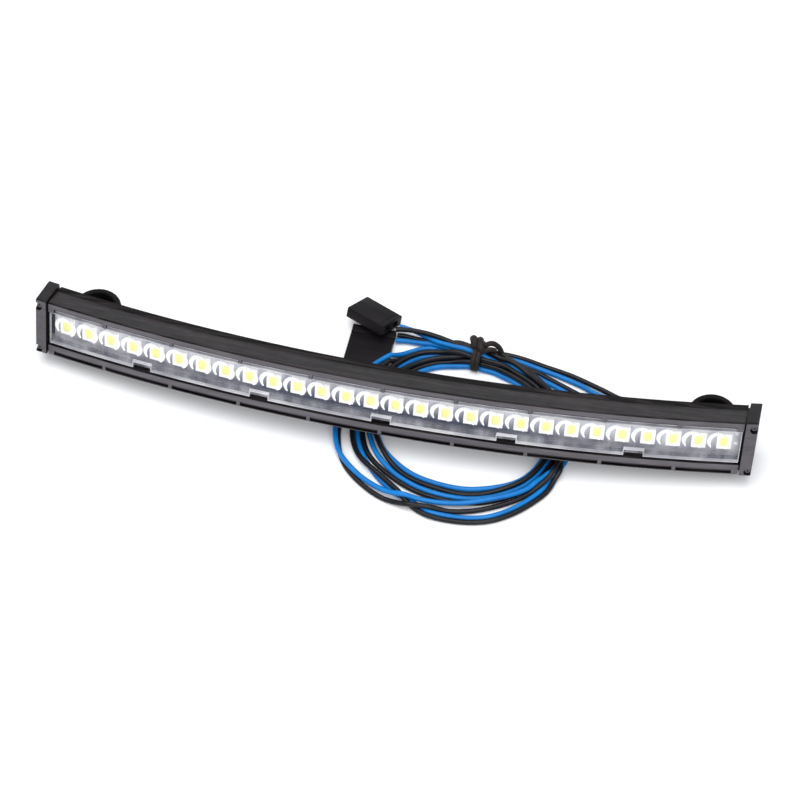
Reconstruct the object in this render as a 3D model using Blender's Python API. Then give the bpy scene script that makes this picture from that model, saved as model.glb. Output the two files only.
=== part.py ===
"""Curved LED roof light bar, with two twin leads laid in a tied coil.

Frame: metres, +Z up, +X along the bar, +Y to its rear. The origin is on the
surface that the mounting feet stand on, below the middle of the bar.
"""
import math

import bmesh
import bpy
from mathutils import Matrix, Vector

MM = 0.001

# Bar: a section swept along an arc, then leaned back. In the section, d is the
# distance in front of the LED faces and z the height above the LED row. The
# pitches are lengths along the LEDs' arc, and the ends are cut square to X.
ARC_RADIUS = 328 * MM
LEAN = math.radians(17.5)
BAR_Y = -8.4 * MM
BAR_HEIGHT = 11.4 * MM
BODY_END = 70.65 * MM
BODY_STEPS = 28
FRONT = 2.0 * MM
BACK = -5.75 * MM
TOP_FRONT = 6.09 * MM
TOP_REAR = 4.85 * MM
BOTTOM = -6.48 * MM
WINDOW_TOP = 3.9 * MM
WINDOW_BOTTOM = -4.1 * MM
POCKET_TOP = 4.4 * MM
WEB_FRONT = -3.6 * MM
WEB_BACK = -4.6 * MM
GAP = 0.3 * MM

# Ribs that cross the two grooves in the bar's front face.
GROOVE_END = 69.4 * MM
RIB_PITCH = 14.54 * MM
RIB_COUNT = 9
RIB_WIDTH = 0.75 * MM
UPPER_GROOVE = (3.7 * MM, 4.85 * MM, 0.95 * MM)
LOWER_GROOVE = (-6.2 * MM, -5.3 * MM, 1.15 * MM)
GROOVE_STEPS = 3

# Lens, board and LEDs.
LENS_FRONT = 1.6 * MM
LENS_BACK = 0.75 * MM
LENS_TOP = 3.66 * MM
LENS_BOTTOM = -3.78 * MM
LENS_END = 70.45 * MM
NOTCH_PITCH = 25 * MM
NOTCH_COUNT = 5
NOTCH_WIDTH = 3.8 * MM
NOTCH_HEIGHT = 1.3 * MM
LED_COUNT = 28
LED_PITCH = 5 * MM
LED_WIDTH = 2.8 * MM
LED_TALL = 3.5 * MM
LED_THICK = 0.8 * MM
LED_WELL_R = 1.15 * MM
LED_WELL_DEPTH = 0.22 * MM
BOARD_FRONT = -1.1 * MM
BOARD_BACK = -2.1 * MM
BOARD_HALF = 4.1 * MM
BOARD_END = 70.2 * MM
RESISTOR_X = (-47.5 * MM, -17.5 * MM, 17.5 * MM, 37.5 * MM)

# End caps and their screws.
CAP_INNER = 70.95 * MM
CAP_OUTER = 73.25 * MM
CAP_MID = (CAP_INNER + CAP_OUTER) / 2
CAP_FRONT = 2.75 * MM
CAP_SCREW_Z = {"upper": 5.0 * MM, "lower": -5.2 * MM}
CAP_RECESS = [(0, -2.1 * MM), (0.6 * MM, -2.1 * MM), (0.6 * MM, 1.3 * MM),
              (0.9 * MM, 1.3 * MM), (0.9 * MM, 3.4 * MM), (0, 3.4 * MM)]
CAP_SCREW = [(0, -1.8 * MM), (0.3 * MM, -1.8 * MM), (0.3 * MM, 1.6 * MM),
             (0.6 * MM, 1.6 * MM), (0.6 * MM, 2.1 * MM), (0.5 * MM, 2.2 * MM),
             (0.28 * MM, 2.2 * MM), (0.28 * MM, 1.85 * MM), (0, 1.85 * MM)]

# Rear cover and its two mounting feet, which are cups for M3 cap screws.
COVER_FRONT = BACK - GAP
COVER_BACK = -6.7 * MM
FOOT_X = 63.7 * MM
FOOT_Y = 7.35 * MM
FOOT_R = 4.9 * MM
FOOT_CUP_R = 3.7 * MM
FOOT_HOLE_R = 1.6 * MM
FOOT_TALL = 6.0 * MM
FOOT_FLOOR = 2.4 * MM

# Leads: four single wires, laid as two blue and black pairs.
WIRE_D = 1.05 * MM
WIRE_STEP = 2.6 * MM
EXIT_X = 50 * MM
EXIT_Z = -1 * MM
EXIT_HOLE_R = 1.6 * MM
GLAND_LENGTH = 3.4 * MM

# Tied coil of the leads: a flat band round its own centre, on the floor.
COIL_CENTRE = Vector((13, -3.4, 0)) * MM
COIL_TOP = 2.1 * MM
COIL_STEPS = 72
COIL_OUTER = (25.0, 25.8, 25.9, 24.4, 21.8, 19.8, 18.6, 18.7, 19.8, 20.6, 18.7, 22.4,
              24.0, 24.3, 24.2, 23.8, 23.1, 22.4, 22.9, 24.2, 24.9, 24.8, 24.4, 24.5)
COIL_INNER = (20.0, 19.4, 18.4, 17.4, 16.6, 16.2, 15.6, 15.1, 14.9, 14.8, 14.8, 14.8,
              14.8, 14.8, 14.4, 14.2, 13.8, 13.4, 13.7, 14.3, 15.4, 16.9, 18.3, 19.4)

# Twist tie and plugs.
TIE_SIDES = (13.6, 14.8)
TIE_KNOB_AT = Vector((14.9, 16.1, 3.2)) * MM
TIE_KNOB = [(0, -2.4 * MM), (0.7 * MM, -2.1 * MM), (1.05 * MM, -1.0 * MM),
            (1.05 * MM, 0.8 * MM), (0.7 * MM, 1.9 * MM), (0, 2.3 * MM)]
LOWER_PLUG_X = (-12.2, -3.1)
UPPER_PLUG_AT = Vector((-8.18, 19.29, 3.1)) * MM
UPPER_PLUG_SIZE = Vector((9.3, 6.6, 2.3)) * MM
UPPER_PLUG_TURN = (math.radians(-20), math.radians(-4), math.radians(-26.3))


def material(name, colour, roughness, metallic=0.0, alpha=1.0):
    """A plain Principled material."""
    mat = bpy.data.materials.new(name)
    mat.use_nodes = True
    shader = mat.node_tree.nodes["Principled BSDF"]
    shader.inputs["Base Color"].default_value = (*colour, 1)
    shader.inputs["Roughness"].default_value = roughness
    shader.inputs["Metallic"].default_value = metallic
    shader.inputs["Alpha"].default_value = alpha
    return mat


def add_object(name, mesh_data, mat=None, parent=None):
    """Link a mesh as a named object, with its material and parent."""
    obj = bpy.data.objects.new(name, mesh_data)
    bpy.context.collection.objects.link(obj)
    obj.parent = parent
    if mat:
        mesh_data.materials.append(mat)
    return obj


def mesh_from_bmesh(name, bm, smooth_angle=None):
    """Close a bmesh into a mesh with its faces pointing out."""
    bmesh.ops.recalc_face_normals(bm, faces=bm.faces)
    data = bpy.data.meshes.new(name)
    bm.to_mesh(data)
    bm.free()
    if smooth_angle is not None:
        data.shade_smooth()
        data.set_sharp_from_angle(angle=math.radians(smooth_angle))
    return data


def loft_mesh(name, rings, closed=False, smooth_angle=35):
    """Skin equal rings of points; an open loft gets a flat face at each end."""
    bm = bmesh.new()
    loops = [[bm.verts.new(p) for p in ring] for ring in rings]
    pairs = list(zip(loops, loops[1:]))
    if closed:
        pairs.append((loops[-1], loops[0]))
    else:
        bm.faces.new(loops[0])
        bm.faces.new(loops[-1])
    count = len(loops[0])
    for near, far in pairs:
        for i in range(count):
            j = (i + 1) % count
            bm.faces.new((near[i], near[j], far[j], far[i]))
    return mesh_from_bmesh(name, bm, smooth_angle)


def bar_point(x, d, z):
    """A point of the bar's section at x, in the bar's own upright frame."""
    return Vector((x, ARC_RADIUS - math.sqrt((ARC_RADIUS + d) ** 2 - x * x), z))


def bar_turn(x, d=0.0):
    """The angle by which the arc has turned at x."""
    return math.asin(x / (ARC_RADIUS + d))


def bar_x(length, d=0.0):
    """The x of a place given by its length along the LEDs' arc."""
    return (ARC_RADIUS + d) * math.sin(length / ARC_RADIUS)


def rectangle(back, front, low, high):
    """A rectangular section, as (d, z) corners."""
    return [(back, low), (front, low), (front, high), (back, high)]


def swept_mesh(name, profile, start, end, steps, smooth_angle=35):
    """A section (d, z) swept along the bar's arc from x = start to x = end."""
    rings = []
    for i in range(steps + 1):
        x = start + (end - start) * i / steps
        rings.append([bar_point(x, d, z) for d, z in profile])
    return loft_mesh(name, rings, smooth_angle=smooth_angle)


def turned_mesh(name, profile, sides, smooth_angle=35):
    """A profile of (radius, height) turned about Z; a zero radius is a pole."""
    bm = bmesh.new()
    rings = []
    for radius, height in profile:
        if radius == 0:
            rings.append([bm.verts.new((0, 0, height))])
            continue
        ring = []
        for i in range(sides):
            angle = 2 * math.pi * i / sides
            ring.append(bm.verts.new((radius * math.cos(angle), radius * math.sin(angle), height)))
        rings.append(ring)
    pairs = list(zip(rings, rings[1:]))
    if len(rings[0]) > 1:
        pairs.append((rings[-1], rings[0]))
    for low, high in pairs:
        for i in range(sides):
            j = (i + 1) % sides
            corners = [low[i % len(low)], low[j % len(low)]]
            corners += [high[j % len(high)], high[i % len(high)]]
            bm.faces.new(list(dict.fromkeys(corners)))
    return mesh_from_bmesh(name, bm, smooth_angle)


def guide(obj):
    """Mark an object as a tool for Booleans."""
    obj.hide_render = True
    obj.display_type = 'WIRE'
    return obj


def boolean(obj, tool, operation):
    """Cut or join a guide object with an exact Boolean."""
    mod = obj.modifiers.new(tool.name, 'BOOLEAN')
    mod.operation = operation
    mod.object = tool
    mod.solver = 'EXACT'


def bevel(obj, width, segments):
    """Round the sharp edges."""
    mod = obj.modifiers.new("rounded_edges", 'BEVEL')
    mod.width = width
    mod.segments = segments
    mod.limit_method = 'ANGLE'


def box_mesh(name, low, high):
    """A box between two corners."""
    bm = bmesh.new()
    bmesh.ops.create_cube(bm, size=1)
    low, high = Vector(low), Vector(high)
    for vert in bm.verts:
        vert.co = [a + (b - a) * (c + 0.5) for a, b, c in zip(low, high, vert.co)]
    return mesh_from_bmesh(name, bm)


def arc(centre, radius, start, end, steps):
    """Points on an arc, with angles in degrees."""
    points = []
    for i in range(steps + 1):
        angle = math.radians(start + (end - start) * i / steps)
        points.append((centre[0] + radius * math.cos(angle), centre[1] + radius * math.sin(angle)))
    return points


def groove_cutter(name, groove, frame):
    """The open stretches of a groove, between its ribs."""
    low, high, floor = groove
    stops = [bar_x((i - (RIB_COUNT - 1) / 2) * RIB_PITCH, FRONT) for i in range(RIB_COUNT)]
    starts = [-GROOVE_END] + [x + RIB_WIDTH / 2 for x in stops]
    ends = [x - RIB_WIDTH / 2 for x in stops] + [GROOVE_END]
    mouth = FRONT + MM
    profile = rectangle(floor, mouth, low, high)
    bm = bmesh.new()
    for start, end in zip(starts, ends):
        piece = swept_mesh(name, profile, start, end, GROOVE_STEPS, None)
        bm.from_mesh(piece)
        bpy.data.meshes.remove(piece)
    return guide(add_object(name, mesh_from_bmesh(name, bm), parent=frame))


def make_housing(frame, mat):
    """The front housing: top and bottom walls joined by a web behind the board."""
    profile = [
        (FRONT - 0.2 * MM, BOTTOM), (FRONT, BOTTOM + 0.2 * MM), (FRONT, WINDOW_BOTTOM),
        (0.4 * MM, WINDOW_BOTTOM), (0.4 * MM, -POCKET_TOP), (WEB_FRONT, -POCKET_TOP),
        (WEB_FRONT, POCKET_TOP), (0.4 * MM, POCKET_TOP), (0.4 * MM, WINDOW_TOP),
        (FRONT, WINDOW_TOP), (FRONT, TOP_FRONT - 0.25 * MM), (FRONT - 0.25 * MM, TOP_FRONT),
        (-1.5 * MM, 5.4 * MM), (-4.7 * MM, 4.65 * MM), (-5.0 * MM, TOP_REAR),
        (-5.55 * MM, TOP_REAR), (BACK, 4.65 * MM), (BACK, 3.7 * MM), (WEB_BACK, 3.7 * MM),
        (WEB_BACK, -4.9 * MM), (BACK, -4.9 * MM), (BACK, -6.1 * MM), (-5.45 * MM, -6.4 * MM),
    ]
    data = swept_mesh("housing", profile, -BODY_END, BODY_END, BODY_STEPS)
    housing = add_object("housing", data, mat, frame)
    for name, groove in (("upper_groove", UPPER_GROOVE), ("lower_groove", LOWER_GROOVE)):
        boolean(housing, groove_cutter(name, groove, frame), 'DIFFERENCE')


def make_lens(frame, mat):
    """The clear lens strip, with a row of notches in its lower edge."""
    profile = rectangle(LENS_BACK, LENS_FRONT, LENS_BOTTOM, LENS_TOP)
    lens = add_object("lens", swept_mesh("lens", profile, -LENS_END, LENS_END, BODY_STEPS), mat, frame)
    bm = bmesh.new()
    for i in range(NOTCH_COUNT):
        x = bar_x((i - (NOTCH_COUNT - 1) / 2) * NOTCH_PITCH, LENS_FRONT)
        low = (-NOTCH_WIDTH / 2, -2 * LENS_FRONT, LENS_BOTTOM - MM)
        high = (NOTCH_WIDTH / 2, MM, LENS_BOTTOM + NOTCH_HEIGHT)
        piece = box_mesh("notch", low, high)
        piece.transform(Matrix.Translation(bar_point(x, 0, 0)) @ Matrix.Rotation(bar_turn(x), 4, 'Z'))
        bm.from_mesh(piece)
        bpy.data.meshes.remove(piece)
    notches = guide(add_object("lens_notches", mesh_from_bmesh("lens_notches", bm), parent=frame))
    boolean(lens, notches, 'DIFFERENCE')


def make_board(frame, mat_board, mat_resistor):
    """The circuit board, and the resistors on its back."""
    profile = rectangle(BOARD_BACK, BOARD_FRONT, -BOARD_HALF, BOARD_HALF)
    data = swept_mesh("circuit_board", profile, -BOARD_END, BOARD_END, BODY_STEPS)
    add_object("circuit_board", data, mat_board, frame)
    for number, x in enumerate(RESISTOR_X, 1):
        name = f"resistor_{number}"
        data = box_mesh(name, (-MM, GAP, -0.65 * MM), (MM, GAP + 0.5 * MM, 0.65 * MM))
        resistor = add_object(name, data, mat_resistor, frame)
        resistor.location = bar_point(x, BOARD_BACK, 0)
        resistor.rotation_euler.z = bar_turn(x)


def led_mesh():
    """An LED package with a round well in its front; its front faces -Y."""
    half_w, half_t = LED_WIDTH / 2, LED_TALL / 2
    corners = [Vector((a * half_w, b * half_t)) for a, b in ((1, -1), (1, 1), (-1, 1), (-1, -1))]
    edge = []
    for here, there in zip(corners, corners[1:] + corners[:1]):
        edge += [here.lerp(there, k / 3) for k in range(3)]
    turns = [math.atan2(p.y, p.x) for p in edge]
    well = [Vector((math.cos(a), math.sin(a))) * LED_WELL_R for a in turns]
    levels = [(edge, 0), (edge, -LED_THICK), (well, -LED_THICK), (well, LED_WELL_DEPTH - LED_THICK)]
    rings = [[(p.x, y, p.y) for p in ring] for ring, y in levels]
    return loft_mesh("led", rings)


def make_leds(frame, mat):
    """The row of LEDs, evenly spaced along the arc."""
    data = led_mesh()
    data.materials.append(mat)
    for i in range(LED_COUNT):
        x = bar_x((i - (LED_COUNT - 1) / 2) * LED_PITCH)
        led = add_object(f"led_{i + 1:02d}", data, None, frame)
        led.location = bar_point(x, -LED_THICK, 0)
        led.rotation_euler.z = bar_turn(x)


def make_end_cap(side, sign, frame, mat_cap, mat_screw):
    """An end cap, its two screw recesses and its screws."""
    rear_round = arc((-5.4 * MM, 4.25 * MM), 1.25 * MM, 95, 180, 4)
    low_round = arc((-5.9 * MM, -5.65 * MM), 0.75 * MM, 180, 270, 2)
    profile = [(CAP_FRONT, -5.9 * MM), (CAP_FRONT, 6.35 * MM), (CAP_FRONT - 0.25 * MM, 6.6 * MM)]
    profile += rear_round + low_round + [(CAP_FRONT - 0.5 * MM, -6.4 * MM)]
    data = swept_mesh(f"end_cap_{side}", profile, sign * CAP_INNER, sign * CAP_OUTER, 1)
    cap = add_object(f"end_cap_{side}", data, mat_cap, frame)
    bevel(cap, 0.15 * MM, 2)
    for level, height in CAP_SCREW_Z.items():
        name = f"cap_screw_{side}_{level}"
        turn = Matrix.Rotation(bar_turn(sign * CAP_MID), 4, 'Z') @ Matrix.Rotation(math.pi / 2, 4, 'X')
        place = Matrix.Translation(bar_point(sign * CAP_MID, 0, height)) @ turn
        recess = turned_mesh(f"{name}_recess", CAP_RECESS, 16)
        tool = guide(add_object(f"{name}_recess", recess, parent=frame))
        tool.matrix_local = place
        boolean(cap, tool, 'DIFFERENCE')
        screw = add_object(name, turned_mesh(name, CAP_SCREW, 12), mat_screw, frame)
        screw.matrix_local = place


def foot_mesh():
    """A mounting foot: a cup for a screw head, with a hole through its floor."""
    profile = [
        (FOOT_HOLE_R, 0), (FOOT_R, 0), (FOOT_R, FOOT_TALL - 0.3 * MM), (FOOT_R - 0.3 * MM, FOOT_TALL),
        (FOOT_CUP_R + 0.2 * MM, FOOT_TALL), (FOOT_CUP_R, FOOT_TALL - 0.2 * MM),
        (FOOT_CUP_R, FOOT_FLOOR), (FOOT_HOLE_R, FOOT_FLOOR),
    ]
    return turned_mesh("mounting_foot", profile, 32)


def exit_matrix():
    """The place where the leads leave the rear cover; local Z points outward."""
    place = Matrix.Translation(bar_point(EXIT_X, COVER_BACK, EXIT_Z))
    turn = Matrix.Rotation(bar_turn(EXIT_X, COVER_BACK), 4, 'Z')
    return place @ turn @ Matrix.Rotation(-math.pi / 2, 4, 'X')


def make_rear_cover(frame, mat):
    """The rear cover, with its mounting feet and the hole for the leads."""
    profile = [
        (COVER_FRONT, -6.0 * MM), (COVER_FRONT, 4.5 * MM), (COVER_BACK + 0.25 * MM, 4.5 * MM),
        (COVER_BACK, 4.25 * MM), (COVER_BACK, -5.75 * MM), (COVER_BACK + 0.25 * MM, -6.0 * MM),
    ]
    data = swept_mesh("rear_cover", profile, -BODY_END, BODY_END, BODY_STEPS)
    cover = add_object("rear_cover", data, mat, frame)
    for side, sign in (("left", -1), ("right", 1)):
        foot = guide(add_object(f"foot_{side}", foot_mesh()))
        foot.location = (sign * FOOT_X, FOOT_Y, 0)
        boolean(cover, foot, 'UNION')
    reach = 3 * MM
    profile = [(0, -reach), (EXIT_HOLE_R, -reach), (EXIT_HOLE_R, reach), (0, reach)]
    tool = guide(add_object("lead_hole", turned_mesh("lead_hole", profile, 20), parent=frame))
    tool.matrix_local = exit_matrix()
    boolean(cover, tool, 'DIFFERENCE')


def make_gland(frame, mat):
    """The tapered rubber strain relief in the rear cover's hole."""
    profile = [
        (0, -1.3), (1.3, -1.3), (1.3, 0.3), (2.3, 0.3), (2.3, 0.8), (2.1, 1.0), (1.9, 1.1),
        (1.62, GLAND_LENGTH / MM), (0, GLAND_LENGTH / MM),
    ]
    data = turned_mesh("lead_gland", [(r * MM, h * MM) for r, h in profile], 16)
    gland = add_object("lead_gland", data, mat, frame)
    gland.matrix_local = exit_matrix()


def smooth_route(points, step):
    """Evenly spaced points on a smooth curve through the route's own points."""
    ends = [2 * points[0] - points[1]] + points + [2 * points[-1] - points[-2]]
    fine = []
    for a, b, c, d in zip(ends, ends[1:], ends[2:], ends[3:]):
        for k in range(20):
            t = k / 20
            fine.append(0.5 * ((2 * b) + (c - a) * t + (2 * a - 5 * b + 4 * c - d) * t ** 2
                               + (3 * b - a - 3 * c + d) * t ** 3))
    fine.append(points[-1])
    lengths = [0.0]
    for a, b in zip(fine, fine[1:]):
        lengths.append(lengths[-1] + (b - a).length)
    count = max(3, round(lengths[-1] / step))
    even = []
    for k in range(count + 1):
        goal = lengths[-1] * k / count
        i = next((n for n, s in enumerate(lengths) if s >= goal and n), len(fine) - 1)
        share = (goal - lengths[i - 1]) / (lengths[i] - lengths[i - 1])
        even.append(fine[i - 1].lerp(fine[i], share))
    return even


def wire_tube(name, route, mat):
    """A wire as a round tube along its route, given in millimetres."""
    points = smooth_route([Vector(p) * MM for p in route], WIRE_STEP)
    curve = bpy.data.curves.new(name, 'CURVE')
    curve.dimensions = '3D'
    curve.bevel_depth = WIRE_D / 2
    curve.bevel_resolution = 2
    curve.use_fill_caps = True
    spline = curve.splines.new('POLY')
    spline.points.add(len(points) - 1)
    for target, point in zip(spline.points, points):
        target.co = (*point, 1)
    curve.materials.append(mat)
    wire = bpy.data.objects.new(name, curve)
    bpy.context.collection.objects.link(wire)


# From the strain relief down to the floor, and round to the coil's right side.
EXIT_ROUTES = {
    "exit_wire_black_1": [(50.0, 5.25, 6.7), (49.75, 6.7, 6.15), (49.1, 8.2, 4.4), (47.3, 9.7, 2.0),
                          (44.2, 11.1, 0.6), (40.6, 12.5, 0.6), (35.6, 14.2, 0.6)],
    "exit_wire_blue_1": [(50.0, 4.9, 5.55), (49.7, 6.2, 5.0), (48.7, 7.5, 3.2), (46.4, 8.9, 1.3),
                         (43.0, 10.1, 0.6), (39.1, 11.4, 0.6), (36.2, 12.6, 0.6)],
    "exit_wire_black_2": [(48.75, 5.1, 6.75), (48.3, 6.5, 5.9), (46.5, 7.7, 3.7), (43.8, 8.3, 1.7),
                          (40.2, 8.9, 0.6), (36.9, 10.0, 0.6)],
    "exit_wire_blue_2": [(48.75, 4.7, 5.6), (47.7, 6.0, 4.5), (45.7, 6.7, 2.6), (43.0, 7.0, 1.1),
                         (39.6, 7.6, 0.6), (37.3, 8.6, 0.6)],
}

# From the two connectors to the tie at the coil's rear.
LEAD_ROUTES = {
    "lead_black_upper": [(-3.1, 17.2, 2.6), (-1.4, 17.4, 2.8), (1.0, 17.35, 3.05),
                         (4.0, 17.2, 3.05), (8.0, 17.0, 2.5), (11.3, 17.15, 2.1)],
    "lead_blue_upper": [(-2.7, 18.5, 2.1), (-1.4, 18.5, 1.95), (0.6, 18.2, 1.8),
                        (3.4, 17.2, 1.8), (6.2, 16.1, 1.8), (11.3, 15.9, 1.8)],
    "lead_black_lower": [(-2.8, 17.0, 1.0), (-1.2, 17.2, 0.85), (1.2, 17.1, 0.6),
                         (4.0, 17.0, 0.6), (8.0, 17.0, 0.6), (11.3, 17.1, 0.6)],
    "lead_blue_lower": [(-2.8, 15.6, 0.9), (-0.8, 16.0, 0.7), (1.6, 16.0, 0.6),
                        (4.6, 15.9, 0.6), (8.0, 15.8, 0.6), (11.3, 15.9, 0.6)],
}


def make_wires(mat_blue, mat_black):
    """The stretches of wire that aren't in the coil."""
    for name, route in {**EXIT_ROUTES, **LEAD_ROUTES}.items():
        wire_tube(name, route, mat_blue if "blue" in name else mat_black)


def cyclic_value(values, share):
    """A smooth cyclic reading of evenly spaced values, at a share of the turn."""
    place = share * len(values)
    i = int(place)
    t = place - i
    a, b, c, d = (values[(i + k) % len(values)] for k in (-1, 0, 1, 2))
    return 0.5 * (2 * b + (c - a) * t + (2 * a - 5 * b + 4 * c - d) * t ** 2
                  + (3 * b - a - 3 * c + d) * t ** 3)


def make_coil(mat):
    """The coil of the leads, as one flat band."""
    rings = []
    edge = 0.5 * MM
    for i in range(COIL_STEPS):
        share = i / COIL_STEPS
        outer = cyclic_value(COIL_OUTER, share) * MM
        inner = cyclic_value(COIL_INNER, share) * MM
        out = Vector((math.cos(2 * math.pi * share), math.sin(2 * math.pi * share), 0))
        section = [(inner + edge, 0), (outer - edge, 0), (outer, COIL_TOP / 2)]
        section += [(outer - edge, COIL_TOP), (inner + edge, COIL_TOP), (inner, COIL_TOP / 2)]
        rings.append([COIL_CENTRE + out * r + Vector((0, 0, z)) for r, z in section])
    add_object("lead_coil", loft_mesh("lead_coil", rings, closed=True), mat)


def make_tie(mat):
    """The twist tie: a strap over the coil's bundle, with its twisted knob."""
    outside = [(11.65, 0.45), (11.65, 2.0), (12.2, 2.75), (15.2, 2.9),
               (18.8, 2.9), (19.5, 2.2), (19.65, 0.45)]
    inside = [(19.15, 0.45), (18.95, 2.0), (18.6, 2.45), (15.2, 2.45),
              (12.45, 2.4), (12.2, 1.9), (12.2, 0.45)]
    sides = [[Vector((x, y, z)) * MM for y, z in outside + inside] for x in TIE_SIDES]
    tie = add_object("twist_tie", loft_mesh("twist_tie", sides), mat)
    knob = turned_mesh("tie_knob", TIE_KNOB, 12)
    tool = guide(add_object("tie_knob", knob))
    tool.matrix_world = Matrix.Translation(TIE_KNOB_AT) @ Matrix.Rotation(math.pi / 2, 4, 'Y')
    boolean(tie, tool, 'UNION')


def make_connectors(mat):
    """The two plugs, one flat on the floor and one leaning on its rear edge."""
    outline = [(6.9, 0), (17.6, 0), (17.6, 1.7), (15.6, 1.7), (15.6, 1.55), (6.9, 1.55)]
    rings = [[Vector((x, y, z)) * MM for y, z in outline] for x in LOWER_PLUG_X]
    lower = add_object("connector_lower", loft_mesh("connector_lower", rings), mat)
    bevel(lower, 0.12 * MM, 1)
    half = UPPER_PLUG_SIZE / 2
    upper = add_object("connector_upper", box_mesh("connector_upper", -half, half), mat)
    upper.location = UPPER_PLUG_AT
    upper.rotation_euler = UPPER_PLUG_TURN
    bevel(upper, 0.15 * MM, 1)


def main():
    """Build the whole part."""
    for obj in list(bpy.data.objects):
        bpy.data.objects.remove(obj)
    black = material("black_plastic", (0.02, 0.02, 0.022), 0.5)
    cap_black = material("cap_plastic", (0.022, 0.021, 0.023), 0.45)
    cover_black = material("cover_plastic", (0.02, 0.02, 0.02), 0.55)
    clear = material("clear_lens", (0.95, 0.96, 0.98), 0.08, alpha=0.35)
    board = material("board_white", (0.62, 0.63, 0.66), 0.45)
    led = material("led_package", (0.9, 0.9, 0.86), 0.4)
    resistor = material("resistor_body", (0.03, 0.03, 0.03), 0.4)
    screw = material("screw_black", (0.02, 0.02, 0.02), 0.35, 0.8)
    rubber = material("gland_rubber", (0.015, 0.015, 0.015), 0.7)
    blue_wire = material("wire_blue", (0.01, 0.2, 0.6), 0.4)
    black_wire = material("wire_black", (0.012, 0.012, 0.013), 0.45)
    plug = material("connector_plastic", (0.018, 0.017, 0.018), 0.4)
    tie = material("tie_plastic", (0.02, 0.018, 0.018), 0.4)

    frame = bpy.data.objects.new("bar_frame", None)
    bpy.context.collection.objects.link(frame)
    frame.location = (0, BAR_Y, BAR_HEIGHT)
    frame.rotation_euler.x = -LEAN

    make_housing(frame, black)
    make_lens(frame, clear)
    make_board(frame, board, resistor)
    make_leds(frame, led)
    make_end_cap("left", -1, frame, cap_black, screw)
    make_end_cap("right", 1, frame, cap_black, screw)
    make_rear_cover(frame, cover_black)
    make_gland(frame, rubber)
    make_wires(blue_wire, black_wire)
    make_coil(black_wire)
    make_tie(tie)
    make_connectors(plug)


main()
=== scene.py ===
"""Looks of the LED light bar: wires, lens optics, plugs, tie and every material."""
import math

import bmesh
import bpy
import numpy as np
from mathutils import Matrix, Vector


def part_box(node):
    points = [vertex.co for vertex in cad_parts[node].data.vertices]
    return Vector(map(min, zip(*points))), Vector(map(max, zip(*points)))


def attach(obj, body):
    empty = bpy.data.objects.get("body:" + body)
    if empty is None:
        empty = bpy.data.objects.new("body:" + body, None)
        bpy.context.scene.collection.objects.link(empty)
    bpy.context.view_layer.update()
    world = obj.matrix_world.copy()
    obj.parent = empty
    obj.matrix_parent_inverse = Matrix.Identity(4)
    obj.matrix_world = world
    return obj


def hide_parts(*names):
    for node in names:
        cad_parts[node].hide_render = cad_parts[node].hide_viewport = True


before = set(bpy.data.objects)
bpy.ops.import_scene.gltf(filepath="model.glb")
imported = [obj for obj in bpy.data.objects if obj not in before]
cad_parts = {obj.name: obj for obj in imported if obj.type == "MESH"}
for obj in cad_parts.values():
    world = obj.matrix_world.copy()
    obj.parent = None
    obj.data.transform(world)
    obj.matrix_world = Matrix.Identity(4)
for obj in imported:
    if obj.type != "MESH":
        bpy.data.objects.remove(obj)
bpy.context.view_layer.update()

MM = 0.001

# The bar as the CAD has it: a section swept along an arc, then leaned back.
ARC_RADIUS = 328.0
LEAN = math.radians(17.5)
BAR_Y = -8.4
BAR_HEIGHT = 11.4
LENS_FRONT = 1.6
LENS_BACK = 0.75
LENS_TOP = 3.66
LENS_BOTTOM = -3.78
LENS_END = 70.45
NOTCH_PITCH = 25.0
NOTCH_COUNT = 5
NOTCH_WIDTH = 3.8
NOTCH_HEIGHT = 1.3
LED_COUNT = 28
RESISTOR_COUNT = 4

BAR = Matrix.Translation(Vector((0, BAR_Y, BAR_HEIGHT))) @ Matrix.Rotation(-LEAN, 4, 'X')

# Camera: a long lens, high in front of the bar and a little to its right.
CAMERA_AT = Vector((79.4, -347.9, 468.4)) * MM
CAMERA_TURN = math.radians(12.617)
CAMERA_DIP = math.radians(52.602)
CAMERA_ROLL = math.radians(-0.167)
CAMERA_LENS = 130.95

# Wires, in millimetres. Their samples lie SAMPLE apart on a smooth curve.
WIRE_D = 1.05
SAMPLE = 0.55
CURVE_STEPS = 24
COIL_CENTRE = (13.0, -3.4)
FLOOR_Z = 0.54
LAYER_RISE = 0.85

# How the wires settle. The first and last points of each wire are held, and
# give way only a little. Samples of one wire touch only beyond OWN_REACH.
HELD_POINTS = 5
HELD_GIVE = 0.15
SETTLE_STEPS = 150
LAST_STEPS = 12
SETTLE_DROP = 0.02
RETURN_PULL = 0.06
PAIRS_EVERY = 10
NEAR_GAP = 2.2
OWN_REACH = 8.0
EASE_EVERY = 3
EASE_SPAN = 3

# The tie, at TIE_X, holds the bundle together within TIE_REACH.
TIE_X = 14.4
TIE_HALF_WIDTH = 1.0
TIE_REACH = (12.7, 17.3)
TIE_TOP = 2.9
KNOT_POINTS = 22
KNOT_TURNS = 1.7
KNOT_START = 13.1
KNOT_LENGTH = 2.4


def bar_world(x, d, z):
    """A point of the bar's section at x, in metres in the object's frame."""
    local = Vector((x, ARC_RADIUS - math.sqrt((ARC_RADIUS + d) ** 2 - x * x), z))
    return (BAR @ local) * MM


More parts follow.
